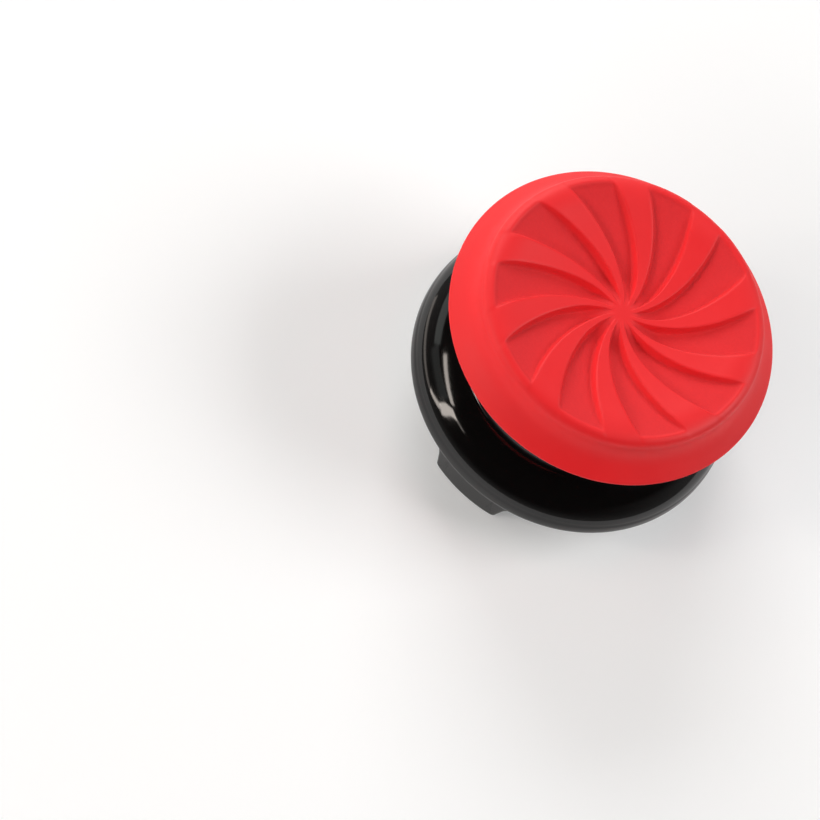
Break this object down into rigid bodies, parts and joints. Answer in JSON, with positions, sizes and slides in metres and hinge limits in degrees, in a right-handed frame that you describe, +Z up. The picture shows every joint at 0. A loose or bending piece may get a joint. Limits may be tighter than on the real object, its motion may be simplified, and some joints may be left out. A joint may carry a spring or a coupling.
{
  "type": "controller thumb grip",
  "caption": "Tall round clip-on thumb grip for a controller stick: soft red rubber cap with swirled grooves in a dished top, on a glossy black clip base.",
  "frame": {"origin": "on the grip's axis, in the plane of the four prong tips that it stands on", "axes": "+Z up the grip's axis towards the dished top; -Y through the middle of the first prong"},
  "size_m": [0.022, 0.022, 0.0155],
  "materials": {
    "black_plastic": "polished injection moulded black plastic",
    "red_rubber": "satin moulded red rubber, with finely textured valleys"
  },
  "bodies": {
    "root": {"clip_base": "black_plastic", "rubber_cap": "red_rubber"}
  },
  "joints": []
}
